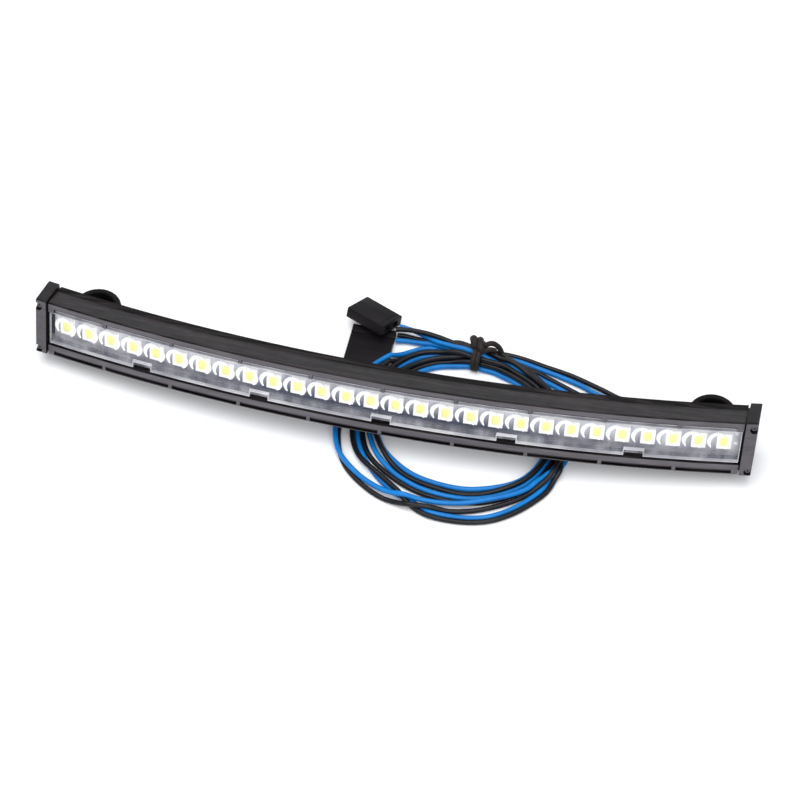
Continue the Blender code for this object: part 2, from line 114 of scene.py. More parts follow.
def make_camera():
    """A camera high in front of the bar, turned a little to the left."""
    data = bpy.data.cameras.new("camera")
    data.lens = CAMERA_LENS
    data.sensor_width = 36
    data.clip_start = 0.01
    camera = bpy.data.objects.new("camera", data)
    bpy.context.collection.objects.link(camera)
    turn = Matrix.Rotation(CAMERA_TURN, 4, 'Z') @ Matrix.Rotation(math.pi / 2 - CAMERA_DIP, 4, 'X')
    camera.matrix_world = Matrix.Translation(CAMERA_AT) @ turn @ Matrix.Rotation(CAMERA_ROLL, 4, 'Z')
    bpy.context.scene.camera = camera


# ---------------------------------------------------------------- materials

class Nodes:
    """A material's node tree, with short calls for the nodes used here."""

    def __init__(self, name, roughness, metallic=0.0, specular=0.5):
        self.mat = bpy.data.materials.new(name)
        self.mat.use_nodes = True
        self.tree = self.mat.node_tree
        self.shader = self.tree.nodes["Principled BSDF"]
        self.shader.inputs["Roughness"].default_value = roughness
        self.shader.inputs["Metallic"].default_value = metallic
        self.shader.inputs["Specular IOR Level"].default_value = specular
        self.coords = self.tree.nodes.new("ShaderNodeTexCoord").outputs["Object"]

    def link(self, source, target):
        """Join an output to an input."""
        self.tree.links.new(source, target)

    def noise(self, scale, detail=4.0, stretch=(1, 1, 1)):
        """Fractal noise in the object's frame, with a scale in waves per metre."""
        mapping = self.tree.nodes.new("ShaderNodeMapping")
        mapping.inputs["Scale"].default_value = stretch
        self.link(self.coords, mapping.inputs["Vector"])
        node = self.tree.nodes.new("ShaderNodeTexNoise")
        node.inputs["Scale"].default_value = scale
        node.inputs["Detail"].default_value = detail
        self.link(mapping.outputs["Vector"], node.inputs["Vector"])
        return node.outputs["Fac"]

    def ramp(self, source, stops):
        """Colours along a value; stops are (place, colour)."""
        node = self.tree.nodes.new("ShaderNodeValToRGB")
        elements = node.color_ramp.elements
        elements[0].position, elements[0].color = stops[0][0], (*stops[0][1], 1)
        elements[1].position, elements[1].color = stops[-1][0], (*stops[-1][1], 1)
        for place, colour in stops[1:-1]:
            elements.new(place).color = (*colour, 1)
        self.link(source, node.inputs["Fac"])
        return node.outputs["Color"]

    def spread(self, source, low, high):
        """Remap a 0.3 to 0.7 noise value to a range."""
        node = self.tree.nodes.new("ShaderNodeMapRange")
        node.inputs["From Min"].default_value = 0.3
        node.inputs["From Max"].default_value = 0.7
        node.inputs["To Min"].default_value = low
        node.inputs["To Max"].default_value = high
        self.link(source, node.inputs["Value"])
        return node.outputs["Result"]

    def mix(self, factor, first, second):
        """Mix two colours; each is a socket or a colour."""
        node = self.tree.nodes.new("ShaderNodeMix")
        node.data_type = 'RGBA'
        # A Mix node's sockets share names, so its colour sockets go by number.
        sockets = (node.inputs[0], node.inputs[6], node.inputs[7])
        for value, socket in zip((factor, first, second), sockets):
            if isinstance(value, bpy.types.NodeSocket):
                self.link(value, socket)
            elif isinstance(value, tuple):
                socket.default_value = (*value, 1)
            else:
                socket.default_value = value
        return node.outputs[2]

    def bump(self, source, distance, strength=1.0):
        """Bump from a height, with its depth in metres."""
        node = self.tree.nodes.new("ShaderNodeBump")
        node.inputs["Distance"].default_value = distance
        node.inputs["Strength"].default_value = strength
        self.link(source, node.inputs["Height"])
        self.link(node.outputs["Normal"], self.shader.inputs["Normal"])

    def colour(self, value):
        """Set the base colour to a socket or a colour."""
        if isinstance(value, tuple):
            self.shader.inputs["Base Color"].default_value = (*value, 1)
        else:
            self.link(value, self.shader.inputs["Base Color"])

    def front_reflection_mask(self):
        """How much a face of the bar looks to the front, from 0 to 1: the mask of the painted reflection of
        the floor.
        """
        geometry = self.tree.nodes.new("ShaderNodeNewGeometry")
        split = self.tree.nodes.new("ShaderNodeSeparateXYZ")
        self.link(geometry.outputs["Normal"], split.inputs["Vector"])
        node = self.tree.nodes.new("ShaderNodeMapRange")
        node.inputs["From Min"].default_value = -0.45
        node.inputs["From Max"].default_value = -0.85
        self.link(split.outputs["Y"], node.inputs["Value"])
        return node.outputs["Result"]

    def attribute(self, name):
        """A value that a mesh holds at each of its points."""
        node = self.tree.nodes.new("ShaderNodeAttribute")
        node.attribute_name = name
        return node.outputs["Fac"]

    def paint_glow(self, strength, colour=None):
        """Give off a little light of a colour, or of the linked colour: painted light, for parts that are no
        lamp.
        """
        if colour:
            self.shader.inputs["Emission Color"].default_value = (*colour, 1)
        self.shader.inputs["Emission Strength"].default_value = strength


def moulded_plastic(name, dark, light, roughness, grain, streak=0.35, front=None):
    """Black moulded plastic with grain drawn along X and flow marks.

    The faces that look to the front take the colour front, where it is given: a painted reflection of the
    pale floor in front of the bar.
    """
    n = Nodes(name, roughness, specular=0.08)
    lines = n.noise(grain * 0.5, 5, (0.05, 1, 1))
    flow = n.noise(90, 3, (0.25, 1, 1))
    flow_marks = n.ramp(flow, [(0.3, dark), (0.7, light)])
    drawn_grain = n.ramp(lines, [(0.42, dark), (0.62, light)])
    base = n.mix(streak, flow_marks, drawn_grain)
    # Painted reflection: faces that look to the front are painted lighter, as the pale floor shows in them.
    if front:
        deep = tuple(c * 0.8 for c in front)
        bright = tuple(c * 1.15 for c in front)
        base = n.mix(n.front_reflection_mask(), base, n.ramp(lines, [(0.3, deep), (0.7, bright)]))
    n.colour(base)
    rough = n.mix(0.5, n.noise(400, 4), lines)
    n.link(n.spread(rough, roughness - 0.08, roughness + 0.10), n.shader.inputs["Roughness"])
    n.bump(n.mix(0.5, n.noise(grain, 3, (0.3, 1, 1)), lines), 0.00006, 0.6)
    return n.mat


def wire_insulation(name, dark, light):
    """Soft PVC insulation with a faint haze and tiny surface ripples."""
    n = Nodes(name, 0.36, specular=0.25)
    n.colour(n.ramp(n.noise(260, 3), [(0.3, dark), (0.7, light)]))
    n.link(n.spread(n.noise(700, 3), 0.30, 0.44), n.shader.inputs["Roughness"])
    n.bump(n.noise(1500, 2), 0.00002, 0.35)
    return n.mat


def clear_lens():
    """Clear polycarbonate, seen as a thin sheet with soft moulding ripples."""
    n = Nodes("clear_polycarbonate", 0.1, specular=0.6)
    n.colour((0.10, 0.10, 0.13))
    n.shader.inputs["Alpha"].default_value = 0.12
    n.shader.inputs["IOR"].default_value = 1.58
    n.bump(n.noise(260, 2, (1, 1, 0.5)), 0.00012, 0.25)
    n.link(n.spread(n.noise(500, 3), 0.05, 0.16), n.shader.inputs["Roughness"])
    return n.mat


def edge_highlight_material():
    """Painted highlight: light caught in the cut edge of the clear strip, painted as a pale strip."""
    n = Nodes("painted_edge_highlight", 0.18)
    streak = n.noise(120, 3, (1, 0.2, 0.2))
    shades = [(0.3, (0.42, 0.43, 0.48)), (0.55, (0.78, 0.78, 0.82)), (0.7, (0.97, 0.97, 0.98))]
    n.colour(n.ramp(streak, shades))
    n.shader.inputs["Alpha"].default_value = 0.65
    n.bump(n.noise(500, 2), 0.00005, 0.3)
    return n.mat


def board_material():
    """White solder mask seen through the optics: grey, streaked, navy low down, with a painted glow in its
    own colours.

    The navy patch fades toward the top of the board and toward the bar's ends.
    """
    patch_top, patch_foot = -0.4 * MM, -5.2 * MM
    patch_end, patch_full = 62 * MM, 20 * MM
    n = Nodes("board_mask", 0.42)
    lower = n.tree.nodes.new("ShaderNodeMapping")
    lower.inputs["Location"].default_value = (0, 0, -BAR_HEIGHT * MM)
    n.link(n.coords, lower.inputs["Vector"])
    lean = n.tree.nodes.new("ShaderNodeVectorRotate")
    lean.rotation_type = 'X_AXIS'
    lean.inputs["Angle"].default_value = LEAN
    n.link(lower.outputs["Vector"], lean.inputs["Vector"])
    split = n.tree.nodes.new("ShaderNodeSeparateXYZ")
    n.link(lean.outputs["Vector"], split.inputs["Vector"])
    low = n.tree.nodes.new("ShaderNodeMapRange")
    low.inputs["From Min"].default_value = patch_top
    low.inputs["From Max"].default_value = patch_foot
    n.link(split.outputs["Z"], low.inputs["Value"])
    reach = n.tree.nodes.new("ShaderNodeMath")
    reach.operation = 'ABSOLUTE'
    n.link(split.outputs["X"], reach.inputs[0])
    middle = n.tree.nodes.new("ShaderNodeMapRange")
    middle.inputs["From Min"].default_value = patch_end
    middle.inputs["From Max"].default_value = patch_full
    n.link(reach.outputs["Value"], middle.inputs["Value"])
    patch = n.tree.nodes.new("ShaderNodeMath")
    patch.operation = 'MULTIPLY'
    n.link(low.outputs["Result"], patch.inputs[0])
    n.link(middle.outputs["Result"], patch.inputs[1])
    greys = [(0.32, (0.40, 0.40, 0.45)), (0.5, (0.66, 0.66, 0.72)), (0.68, (0.92, 0.92, 0.96))]
    grey = n.ramp(n.noise(330, 4, (1, 0.1, 0.22)), greys)
    shade = n.mix(patch.outputs["Value"], grey, (0.07, 0.085, 0.14))
    n.colour(shade)
    # Painted light: the board glows in its own colours, though it is no lamp.
    n.link(shade, n.shader.inputs["Emission Color"])
    n.paint_glow(0.15)
    n.bump(n.noise(900, 3), 0.00002, 0.3)
    return n.mat


def white_package():
    """The LED's white moulded package, with a painted glow though the LEDs are not lit."""
    n = Nodes("led_white", 0.35)
    n.colour(n.ramp(n.noise(800, 3), [(0.3, (0.90, 0.90, 0.87)), (0.7, (0.97, 0.97, 0.94))]))
    n.paint_glow(0.45, (1, 1, 0.96))
    n.bump(n.noise(2500, 2), 0.00001, 0.3)
    return n.mat


def gel_material():
    """Yellow phosphor gel, deeper in the middle of each dome, with a painted glow though the LEDs are not
    lit.
    """
    n = Nodes("phosphor_gel", 0.22)
    yellows = [(0.0, (0.98, 0.98, 0.80)), (0.5, (0.96, 0.95, 0.46)), (1.0, (0.95, 0.93, 0.34))]
    colour = n.ramp(n.attribute("depth"), yellows)
    n.colour(colour)
    n.link(colour, n.shader.inputs["Emission Color"])
    n.paint_glow(0.3)
    n.bump(n.noise(3000, 2), 0.00001, 0.3)
    return n.mat


def cup_highlight_material():
    """Painted highlight: the bright arcs that the lens's moulded cups throw round each LED, painted pale and
    glowing.
    """
    n = Nodes("cup_arc_highlight", 0.16)
    n.colour(n.ramp(n.noise(420, 3), [(0.3, (0.86, 0.87, 0.90)), (0.7, (0.98, 0.98, 0.99))]))
    n.paint_glow(0.5, (0.97, 0.98, 1))
    n.bump(n.noise(700, 2), 0.00003, 0.3)
    return n.mat


def frost_material():
    """Frosted ribs in the clear strip, fading upward."""
    n = Nodes("lens_frost", 0.3)
    streak = n.noise(420, 3, (1, 0.08, 0.15))
    shades = [(0.3, (0.16, 0.16, 0.19)), (0.5, (0.38, 0.38, 0.42)), (0.7, (0.72, 0.72, 0.76))]
    n.colour(n.ramp(streak, shades))
    thin = n.tree.nodes.new("ShaderNodeMath")
    thin.operation = 'MULTIPLY'
    thin.inputs[1].default_value = 0.85
    n.link(n.attribute("fade"), thin.inputs[0])
    n.link(thin.outputs["Value"], n.shader.inputs["Alpha"])
    n.bump(streak, 0.00005, 0.4)
    return n.mat


def solder_material():
    """Pale tinned solder, with a painted glow that stands in for its glint."""
    n = Nodes("tin_solder", 0.3)
    n.paint_glow(0.35, (1, 1, 1))
    n.colour(n.ramp(n.noise(900, 3), [(0.3, (0.72, 0.72, 0.74)), (0.7, (0.92, 0.92, 0.94))]))
    n.bump(n.noise(2200, 2), 0.00002, 0.4)
    return n.mat


def metal_screw():
    """Black oxide steel, painted as light as the caps' front faces: a painted reflection."""
    n = Nodes("black_oxide", 0.38, metallic=0.15)
    n.colour(n.ramp(n.noise(900, 3), [(0.3, (0.075, 0.070, 0.077)), (0.7, (0.125, 0.118, 0.127))]))
    n.link(n.spread(n.noise(1500, 3), 0.28, 0.5), n.shader.inputs["Roughness"])
    n.bump(n.noise(2600, 2), 0.00001, 0.4)
    return n.mat


def floor_material():
    """Plain pale paper."""
    n = Nodes("pale_floor", 0.75, specular=0.2)
    n.colour((0.93, 0.93, 0.935))
    return n.mat


# -------------------------------------------------------------------- shapes

def smooth_shade(mesh, sharp_angle):
    """Shade a mesh smooth, apart from edges over an angle in degrees."""
    mesh.shade_smooth()
    mesh.set_sharp_from_angle(angle=math.radians(sharp_angle))


def add_piece(name, mesh, mat, sharp_angle):
    """Link a mesh as a finished piece that rides on the bar."""
    smooth_shade(mesh, sharp_angle)
    mesh.materials.clear()
    mesh.materials.append(mat)
    obj = bpy.data.objects.new(name, mesh)
    bpy.context.collection.objects.link(obj)
    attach(obj, "root")
    return obj


def finish_bmesh(name, bm):
    """Turn a bmesh into a mesh with its faces pointing out."""
    bmesh.ops.recalc_face_normals(bm, faces=bm.faces)
    mesh = bpy.data.meshes.new(name)
    bm.to_mesh(mesh)
    bm.free()
    return mesh


def loft(bm, rings, closed=False):
    """Skin equal rings of points inside a bmesh, with caps unless they close."""
    loops = [[bm.verts.new(p) for p in ring] for ring in rings]
    pairs = list(zip(loops, loops[1:]))
    if closed:
        pairs.append((loops[-1], loops[0]))
    else:
        bm.faces.new(loops[0])
        bm.faces.new(loops[-1])
    count = len(loops[0])
    for near, far in pairs:
        for i in range(count):
            j = (i + 1) % count
            bm.faces.new((near[i], near[j], far[j], far[i]))


# --------------------------------------------------------------------- wires

# Each strand is one turn of one wire: its distance from the coil's centre at
# every 30 degrees, from the tie round by the left, the front and the right.
STRANDS = {
    "a_blue": (19.5, 20.8, 21.6, 23.2, 23.5, 21.2, 19.2, 19.5, 22.0, 24.3, 21.6, 19.4),
    "a_black": (20.55, 20.1, 20.4, 22.1, 23.4, 22.5, 20.8, 21.0, 22.5, 23.4, 20.8, 18.4),
    "e_black": (17.5, 19.2, 18.9, 19.6, 19.8, 19.2, 21.8, 23.8, 24.0, 22.9, 21.6, 19.6),
    "e_blue": (18.95, 18.8, 18.5, 19.2, 19.4, 19.4, 21.5, 23.2, 23.5, 22.6, 21.3, 19.0),
    "b_black": (17.85, 17.5, 17.4, 18.1, 18.1, 17.2, 17.4, 18.9, 20.9, 21.6, 19.6, 17.6),
    "c_blue": (17.3, 18.2, 17.3, 17.0, 16.5, 16.2, 16.9, 18.6, 20.3, 20.9, 19.0, 17.2),
    "c_black": (16.75, 16.7, 16.2, 15.8, 15.1, 14.8, 15.3, 17.8, 19.9, 20.8, 21.6, 20.0),
    "d_blue": (16.2, 15.6, 15.3, 15.6, 15.0, 14.5, 14.3, 16.0, 18.9, 20.1, 20.2, 18.3),
}

# How the strands lie on each other, lowest first: on the left behind the bar,
# in front of it, and on the right behind it.
PILES = {
    "left": (
        ("d_blue", "c_blue", "a_blue", "a_black"), ("c_black", "b_black", "e_blue"), ("e_black",),
    ),
    "front": (
        ("d_blue", "c_blue", "b_black"), ("c_black", "e_blue"), ("e_black",), ("a_black",), ("a_blue",),
    ),
    "right": (
        ("c_blue", "d_blue", "e_blue"), ("a_blue", "b_black"), ("c_black",), ("a_black", "e_black"),
    ),
}

# The stretches between the gland and the coil, as (x, y, z).
EXITS = {
    "exit_p_black": [
        (50.0, 5.25, 6.7), (49.75, 6.7, 6.15), (49.1, 8.2, 4.4), (47.3, 9.7, 2.0), (44.2, 11.1, 0.6),
        (40.6, 12.5, 0.6), (35.6, 14.2, 0.6), (31.6, 15.2, 0.6), (24.4, 16.4, 0.9), (18.3, 16.9, 1.0),
    ],
    "exit_p_blue": [
        (50.0, 4.9, 5.55), (49.7, 6.2, 5.0), (48.7, 7.5, 3.2), (46.4, 8.9, 1.3), (43.0, 10.1, 0.6),
        (39.1, 11.4, 0.6), (36.2, 12.6, 0.6), (30.6, 14.2, 0.6), (24.0, 15.6, 0.6), (18.2, 15.9, 0.6),
    ],
    "exit_q_black": [
        (48.75, 5.1, 6.75), (48.3, 6.5, 5.9), (46.5, 7.7, 3.7), (43.8, 8.3, 1.7), (40.2, 8.9, 0.6),
        (36.9, 10.0, 0.6), (34.0, 11.0, 0.6), (29.3, 12.7, 0.8), (23.3, 14.4, 1.5), (17.8, 14.7, 1.6),
    ],
    "exit_q_blue": [
        (48.75, 4.7, 5.6), (47.7, 6.0, 4.5), (45.7, 6.7, 2.6), (43.0, 7.0, 1.1), (39.6, 7.6, 0.6),
        (37.3, 8.6, 0.6), (33.6, 10.4, 0.6), (29.0, 12.3, 0.6), (23.0, 14.0, 0.6), (17.7, 14.1, 0.6),
    ],
}

# The stretches between the coil and the plugs, as (x, y, z).
LEADS = {
    "lead_upper_black": [
        (13.0, 16.0, 2.4), (8.0, 17.0, 2.5), (4.0, 17.2, 3.05),
        (1.0, 17.35, 3.05), (-1.4, 17.4, 2.8), (-3.1, 17.2, 2.6),
    ],
    "lead_upper_blue": [
        (13.0, 15.0, 2.4), (6.2, 16.1, 1.8), (3.4, 17.2, 1.8),
        (0.6, 18.2, 1.8), (-1.4, 18.5, 1.95), (-2.7, 18.5, 2.1),
    ],
    "lead_lower_black": [
        (13.0, 16.6, 1.4), (8.0, 17.0, 0.6), (4.0, 17.0, 0.6),
        (1.2, 17.1, 0.6), (-1.2, 17.2, 0.85), (-2.8, 17.0, 1.0),
    ],
    "lead_lower_blue": [
        (13.0, 15.0, 0.6), (8.0, 15.8, 0.6), (4.6, 15.9, 0.6),
        (1.6, 16.0, 0.6), (-0.8, 16.0, 0.7), (-2.8, 15.6, 0.9),
    ],
}

# Each wire: its exit stretch, its two turns, its lead, and its real length in metres.
# Pair p ends in the upper plug, and pair q in the lower one.
WIRES = {
    "wire_p_blue": ("exit_p_blue", "a_blue", "e_blue", "lead_upper_blue", 0.33),
    "wire_p_black": ("exit_p_black", "a_black", "e_black", "lead_upper_black", 0.33),
    "wire_q_blue": ("exit_q_blue", "c_blue", "d_blue", "lead_lower_blue", 0.275),
    "wire_q_black": ("exit_q_black", "b_black", "c_black", "lead_lower_black", 0.285),
}


def pile_height(side, strand):
    """The height at which a strand starts to settle."""
    level = next(i for i, names in enumerate(PILES[side]) if strand in names)
    return FLOOR_Z + LAYER_RISE * level


def wire_controls(parts):
    """A wire's control points from its exit to its plug, and which ones are free."""
    exit_name, first, second, lead, _ = parts
    points = list(EXITS[exit_name])
    for strand in (first, second):
        steps = len(STRANDS[strand])
        for i, radius in enumerate(STRANDS[strand]):
            angle = math.radians(90 + 360 * i / steps)
            side = "left" if i < 3 else "right" if i > 8 else "front"
            points.append((COIL_CENTRE[0] + radius * math.cos(angle),
                           COIL_CENTRE[1] + radius * math.sin(angle), pile_height(side, strand)))
    points += LEADS[lead]
    free = [HELD_POINTS <= i < len(points) - HELD_POINTS for i in range(len(points))]
    return points, free


def sample_wire(points, free):
    """Evenly spaced samples of a smooth curve, and how free each one is."""
    ends = np.array([np.subtract(np.multiply(points[0], 2), points[1]), *points,
                     np.subtract(np.multiply(points[-1], 2), points[-2])])
    rows, loose = [], []
    for i in range(len(points) - 1):
        a, b, c, d = ends[i:i + 4]
        for k in range(CURVE_STEPS):
            t = k / CURVE_STEPS
            rows.append(0.5 * (2 * b + (c - a) * t + (2 * a - 5 * b + 4 * c - d) * t ** 2
                               + (3 * b - a - 3 * c + d) * t ** 3))
            loose.append(free[i] + (free[i + 1] - free[i]) * t)
    rows.append(np.array(points[-1]))
    loose.append(0.0)
    rows = np.array(rows)
    travel = np.concatenate([[0], np.cumsum(np.linalg.norm(np.diff(rows, axis=0), axis=1))])
    even = np.linspace(0, travel[-1], int(travel[-1] / SAMPLE) + 1)
    columns = [np.interp(even, travel, rows[:, k]) for k in range(3)]
    columns.append(np.interp(even, travel, loose))
    return np.stack(columns, axis=1)


def close_pairs(places, wire, travel):
    """Pairs of samples that lie near each other in plan, but not along one wire."""
    across = places[:, None, :2] - places[None, :, :2]
    gap = np.hypot(across[..., 0], across[..., 1])
    apart = (wire[:, None] != wire[None, :]) | (np.abs(travel[:, None] - travel[None, :]) > OWN_REACH)
    return np.nonzero(np.triu((gap < NEAR_GAP) & apart, 1))


def ease(values, wire):
    """Smooth values along each wire."""
    kernel = np.hanning(2 * EASE_SPAN + 3)[1:-1]
    kernel /= kernel.sum()
    out = values.copy()
    for number in range(int(wire.max()) + 1):
        mine = np.flatnonzero(wire == number)
        for k in range(3):
            out[mine, k] = np.convolve(np.pad(values[mine, k], EASE_SPAN, mode='edge'), kernel, mode='valid')
    return out


def part_touching(places, first, second, wire):
    """How far each sample moves to part the pairs that touch."""
    apart = places[first] - places[second]
    reach = np.linalg.norm(apart, axis=1)
    push = apart * (np.maximum(WIRE_D - reach, 0) / np.maximum(reach, 0.01) / 2)[:, None]
    hits = (reach < WIRE_D).astype(float)
    move, count = np.zeros_like(places), np.zeros(len(places))
    np.add.at(move, first, push)
    np.add.at(move, second, -push)
    np.add.at(count, first, hits)
    np.add.at(count, second, hits)
    move /= np.sqrt(np.maximum(count, 1))[:, None]
    return ease(move, wire)


def keep_clear(places, loose, low, high):
    """Keep the samples above the floor and the lower plug, and inside the tie."""
    half = WIRE_D / 2
    places[:, 2] = np.maximum(places[:, 2], FLOOR_Z)
    over = np.all((places[:, :2] > low[:2] - half) & (places[:, :2] < high[:2] + half), axis=1)
    over &= loose[:, 0] > 0.5
    places[over, 2] = np.maximum(places[over, 2], high[2] + half)
    tied = (np.abs(places[:, 0] - TIE_X) < TIE_HALF_WIDTH) & (places[:, 1] > 0)
    places[tied, 1] = np.clip(places[tied, 1], *TIE_REACH)
    places[tied, 2] = np.minimum(places[tied, 2], TIE_TOP)


def lay_wires():
    """Let the wires settle on the floor and on each other."""
    laid = [sample_wire(*wire_controls(parts)) for parts in WIRES.values()]
    wire = np.concatenate([np.full(len(rows), n) for n, rows in enumerate(laid)])
    travel = np.concatenate([np.arange(len(rows)) * SAMPLE for rows in laid])
    start = np.concatenate([rows[:, :3] for rows in laid])
    loose = np.concatenate([rows[:, 3] for rows in laid])[:, None]
    low, high = (np.array(p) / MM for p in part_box("connector_lower"))
    places = start.copy()
    for step in range(SETTLE_STEPS):
        if step % PAIRS_EVERY == 0:
            first, second = close_pairs(places, wire, travel)
        last = step > SETTLE_STEPS - LAST_STEPS
        if not last:
            pull = (start - places) * RETURN_PULL
            pull[:, 2] = -SETTLE_DROP
            places += ease(pull * loose, wire)
        places += part_touching(places, first, second, wire) * np.maximum(loose, HELD_GIVE)
        keep_clear(places, loose, low, high)
        if step % EASE_EVERY == 0 and not last:
            places = start + ease(places - start, wire)
    return {name: places[wire == number] for number, name in enumerate(WIRES)}


def make_wires(materials):
    """The four wires, each a whole length from the gland to its plug."""
    stands_for = {
        "wire_p_blue": ("exit_wire_blue_1", "lead_blue_upper", "lead_coil"),
        "wire_p_black": ("exit_wire_black_1", "lead_black_upper"),
        "wire_q_blue": ("exit_wire_blue_2", "lead_blue_lower"),
        "wire_q_black": ("exit_wire_black_2", "lead_black_lower"),
    }
    for name, points in lay_wires().items():
        colour = "wire_blue" if "blue" in name else "wire_black"
        data = bpy.data.curves.new(name, 'CURVE')
        data.dimensions = '3D'
        data.bevel_depth = WIRE_D * MM / 2
        data.bevel_resolution = 4
        data.use_fill_caps = True
        spline = data.splines.new('POLY')
        spline.points.add(len(points) - 1)
        for target, point in zip(spline.points, points):
            target.co = (*(point * MM), 1)
        spline.use_smooth = True
        data.materials.append(materials[colour])
        wire = bpy.data.objects.new(name, data)
        bpy.context.collection.objects.link(wire)
        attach(wire, "root")
        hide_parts(*stands_for[name])


# --------------------------------------------------------------- bar details

def led_places():
    """A matrix at each LED's centre; local -Y points out of its face."""
    places = []
    for i in range(LED_COUNT):
        low, high = (Vector(p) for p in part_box(f"led_{i + 1:02d}"))
        centre = (low + high) / 2
        turn = math.asin(centre.x / MM / ARC_RADIUS)
        lean = Matrix.Rotation(-LEAN, 4, 'X')
        places.append(Matrix.Translation(centre) @ lean @ Matrix.Rotation(turn, 4, 'Z'))
    return places


def make_gel(mat):
    """The pillows of phosphor gel that fill the LEDs' wells."""
    wide, tall, foot, crown = 1.02, 1.34, -0.30, -0.52
    rings, sides = 6, 32
    bm = bmesh.new()
    depth = bm.verts.layers.float.new("depth")
    for place in led_places():
        previous = None
        for r in range(rings + 1):
            share = r / rings
            y = crown + (foot - crown) * share ** 4
            loop = []
            for s in range(sides if r else 1):
                angle = 2 * math.pi * s / sides
                round_x = math.copysign(abs(math.cos(angle)) ** 0.6, math.cos(angle))
                round_z = math.copysign(abs(math.sin(angle)) ** 0.6, math.sin(angle))
                point = Vector((wide * share * round_x, y, tall * share * round_z))
                loop.append(bm.verts.new(place @ (point * MM)))
            for vert in loop:
                vert[depth] = 1 - share ** 3
            if previous:
                for s in range(sides):
                    t = (s + 1) % sides
                    corners = [previous[s % len(previous)], previous[t % len(previous)], loop[t], loop[s]]
                    bm.faces.new(list(dict.fromkeys(corners)))
            previous = loop
        bm.faces.new(previous)
    return add_piece("led_gel", finish_bmesh("led_gel", bm), mat, 50)


def make_cup_highlights(mat):
    """Painted highlights: pale arcs for the light that the lens's moulded cups throw round each LED, whose
    pitch is a little under the LEDs'.

    Each is thick at its upper left and its lower right, and the lower part
    fades from the bar's left end to its right.
    """
    outer, inner = 2.42, 1.55
    middle, half_width = (outer + inner) / 2, (outer - inner) / 2
    start, end, steps, sides = -50, 222, 34, 8
    front, back = -1.0, -0.55
    bm = bmesh.new()
    for i, place in enumerate(led_places()):
        along = i / (LED_COUNT - 1)
        shift = -0.1 - along
        rings = []
        for k in range(steps + 1):
            degrees = start + (end - start) * k / steps
            angle = math.radians(degrees)
            upper = max(0, 1 - abs(degrees - 145) / 80)
            lower = max(0, 1 - abs(degrees + 20) / 60) * (1 - 0.7 * along)
            taper = min(1, 1.6 * max(upper, lower)) ** 0.6
            half = half_width * max(taper, 0.12)
            section = []
            for j in range(sides):
                turn = 2 * math.pi * j / sides
                r = middle + half * math.cos(turn)
                y = (front + back) / 2 + (back - front) / 2 * math.sin(turn)
                point = Vector((shift + r * math.cos(angle), y, r * math.sin(angle) + 0.1))
                section.append(place @ (point * MM))
            rings.append(section)
        loft(bm, rings)
    return add_piece("cup_highlight_arcs", finish_bmesh("cup_highlight_arcs", bm), mat, 60)


def lens_outline():
    """Points round the lens's front face, with its notches, no more than 5 mm apart."""
    path = [(-LENS_END, LENS_BOTTOM)]
    for i in range(NOTCH_COUNT):
        turn = (i - (NOTCH_COUNT - 1) / 2) * NOTCH_PITCH / ARC_RADIUS
        x = (ARC_RADIUS + LENS_FRONT) * math.sin(turn)
        left, right, top = x - NOTCH_WIDTH / 2, x + NOTCH_WIDTH / 2, LENS_BOTTOM + NOTCH_HEIGHT
        path += [(left, LENS_BOTTOM), (left, top), (right, top), (right, LENS_BOTTOM)]
    path += [(LENS_END, LENS_BOTTOM), (LENS_END, LENS_TOP), (-LENS_END, LENS_TOP)]
    fine = []
    for (x0, z0), (x1, z1) in zip(path, path[1:] + path[:1]):
        count = max(1, int(abs(x1 - x0) / 5))
        fine += [(x0 + (x1 - x0) * k / count, z0 + (z1 - z0) * k / count) for k in range(count)]
    return [Vector(point) for point in fine]


def make_edge_highlight(mat):
    """A pale strip on the cut edge of the lens, which follows its notches: a painted highlight of the light
    caught in that edge.
    """
    width, proud = 0.16, 0.02
    front, back = LENS_FRONT + proud, LENS_BACK + proud
    outline = lens_outline()
    rings = []
    for i, point in enumerate(outline):
        into = (point - outline[i - 1]).normalized()
        away = (outline[(i + 1) % len(outline)] - point).normalized()
        left_in, left_out = Vector((-into.y, into.x)), Vector((-away.y, away.x))
        mitre = left_in + left_out
        mitre /= max(mitre.dot(left_in), 0.2)
        inner = point + mitre * width
        rings.append([bar_world(point.x, back, point.y), bar_world(point.x, front, point.y),
                      bar_world(inner.x, front, inner.y), bar_world(inner.x, back, inner.y)])
    bm = bmesh.new()
    loft(bm, rings, closed=True)
    return add_piece("painted_edge_highlight", finish_bmesh("painted_edge_highlight", bm), mat, 30)


def make_lens_frost(mat):
    """The ribbed, frosted lower part of the lens, behind its clear face."""
    low, high = LENS_BOTTOM + 0.05, -1.6
    depth, thickness, rib = 0.68, 0.1, 0.05
    columns_count, rows_count = 140, 4
    bm = bmesh.new()
    fade = bm.verts.layers.float.new("fade")
    columns = []
    for i in range(columns_count + 1):
        x = LENS_END * (2 * i / columns_count - 1) * 0.998
        face = depth - rib * (i % 2)
        column = []
        for k in range(rows_count + 1):
            share = k / rows_count
            z = low + (high - low) * share
            front = bm.verts.new(bar_world(x, face, z))
            back = bm.verts.new(bar_world(x, face - thickness, z))
            front[fade] = back[fade] = (1 - share) ** 1.3
            column.append((front, back))
        columns.append(column)
    for near, far in zip(columns, columns[1:]):
        for k in range(rows_count):
            for side in (0, 1):
                bm.faces.new((near[k][side], near[k + 1][side], far[k + 1][side], far[k][side]))
        for k in (0, rows_count):
            bm.faces.new((near[k][0], near[k][1], far[k][1], far[k][0]))
    for column in (columns[0], columns[-1]):
        for k in range(rows_count):
            bm.faces.new((column[k][0], column[k][1], column[k + 1][1], column[k + 1][0]))
    return add_piece("lens_frost", finish_bmesh("lens_frost", bm), mat, 50)


